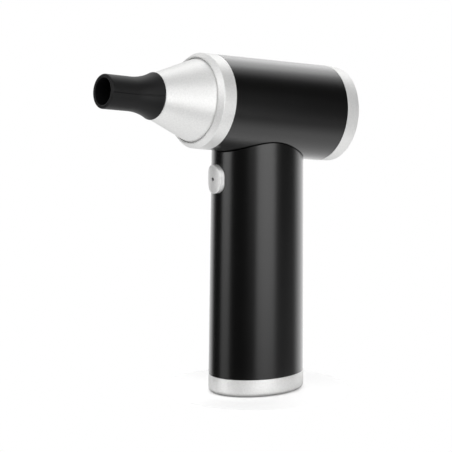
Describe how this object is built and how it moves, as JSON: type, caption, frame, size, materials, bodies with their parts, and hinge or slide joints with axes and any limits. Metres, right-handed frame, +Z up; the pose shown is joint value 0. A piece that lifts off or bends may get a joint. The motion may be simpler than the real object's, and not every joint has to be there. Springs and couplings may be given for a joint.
{
  "type": "handheld blower",
  "caption": "Cordless pistol-shaped air blower with a rubber nozzle tip, aluminium nose cone, round black barrel, oval handle and push button.",
  "frame": {"origin": "centre of the foot pad's flat underside, on the handle's axis", "axes": "+Z up along the handle, -X towards the nozzle, Y across the handle; the barrel's axis lies in the XZ plane and its nozzle end is raised 10.7 degrees"},
  "size_m": [0.1383, 0.046, 0.1685],
  "materials": {
    "black_rubber": "matt moulded rubber",
    "seal_rubber": "smooth rubber",
    "satin_aluminium": "satin, bead blasted and anodised",
    "black_casing": "satin black",
    "dark_plastic": "moulded",
    "grille_plastic": "moulded",
    "screen_mesh": "fine woven mesh",
    "cast_aluminium": "die cast",
    "wheel_aluminium": "machined",
    "bright_steel": "bright",
    "magnet": "nickel plated",
    "core_steel": "stacked sheets",
    "copper_wire": "enamelled wire",
    "frame_plastic": "moulded",
    "screw_steel": "zinc plated",
    "clear_plastic": "clear",
    "switch_body": "moulded",
    "circuit_board": "solder mask",
    "components": "moulded",
    "cell_wrap": "shrink wrapped can",
    "nickel_strip": "nickel"
  },
  "bodies": {
    "housing": {"front_ring": "satin_aluminium", "barrel_shell": "black_casing", "outlet_sleeve": "dark_plastic", "fan_housing": "cast_aluminium", "inlet_bell": "dark_plastic", "mount_ring_front": "seal_rubber", "mount_ring_rear": "seal_rubber", "bearing_front": "bright_steel", "bearing_rear": "bright_steel", "motor_stator": "core_steel", "motor_windings": "copper_wire", "motor_end_plate": "cast_aluminium", "tail_cone": "dark_plastic", "neck_joint": "frame_plastic", "neck_screws": "screw_steel", "handle_shell": "black_casing", "tact_switch": "switch_body", "control_board": "circuit_board", "board_parts": "components", "chassis": "frame_plastic", "battery_cell_front": "cell_wrap", "battery_cell_rear": "cell_wrap", "cell_straps": "nickel_strip", "charge_board": "circuit_board", "charge_socket": "bright_steel", "base_cap": "satin_aluminium", "base_screws": "screw_steel", "foot_pad": "black_rubber"},
    "nose": {"nose_cone": "satin_aluminium", "nose_seal": "seal_rubber"},
    "tip": {"nozzle_tip": "black_rubber"},
    "intake_cover": {"rear_ring": "satin_aluminium", "intake_grille": "grille_plastic", "filter_screen": "screen_mesh"},
    "button": {"power_button": "satin_aluminium", "light_pipe": "clear_plastic", "switch_plunger": "switch_body"},
    "rotor": {"impeller": "wheel_aluminium", "impeller_nut": "wheel_aluminium", "rotor_shaft": "bright_steel", "rotor_magnet": "magnet"}
  },
  "joints": [
    {"name": "nose_cone_pull", "type": "slide", "parent": "housing", "child": "nose", "axis": [-0.9826, 0, 0.1857], "range_m": [0, 0.01]},
    {"name": "nozzle_tip_pull", "type": "slide", "parent": "nose", "child": "tip", "axis": [-0.9826, 0, 0.1857], "range_m": [0, 0.01]},
    {"name": "intake_cover_pull", "type": "slide", "parent": "housing", "child": "intake_cover", "axis": [0.9826, 0, -0.1857], "range_m": [0, 0.008]},
    {"name": "power_button_press", "type": "slide", "parent": "housing", "child": "button", "axis": [1, 0, 0], "range_m": [0, 0.001], "stiffness_N_per_m": 1200, "springref_m": -0.0004},
    {"name": "fan_spin", "type": "hinge", "parent": "housing", "child": "rotor", "pos_m": [0, 0, 0.1392], "axis": [-0.9826, 0, 0.1857], "continuous": true}
  ]
}
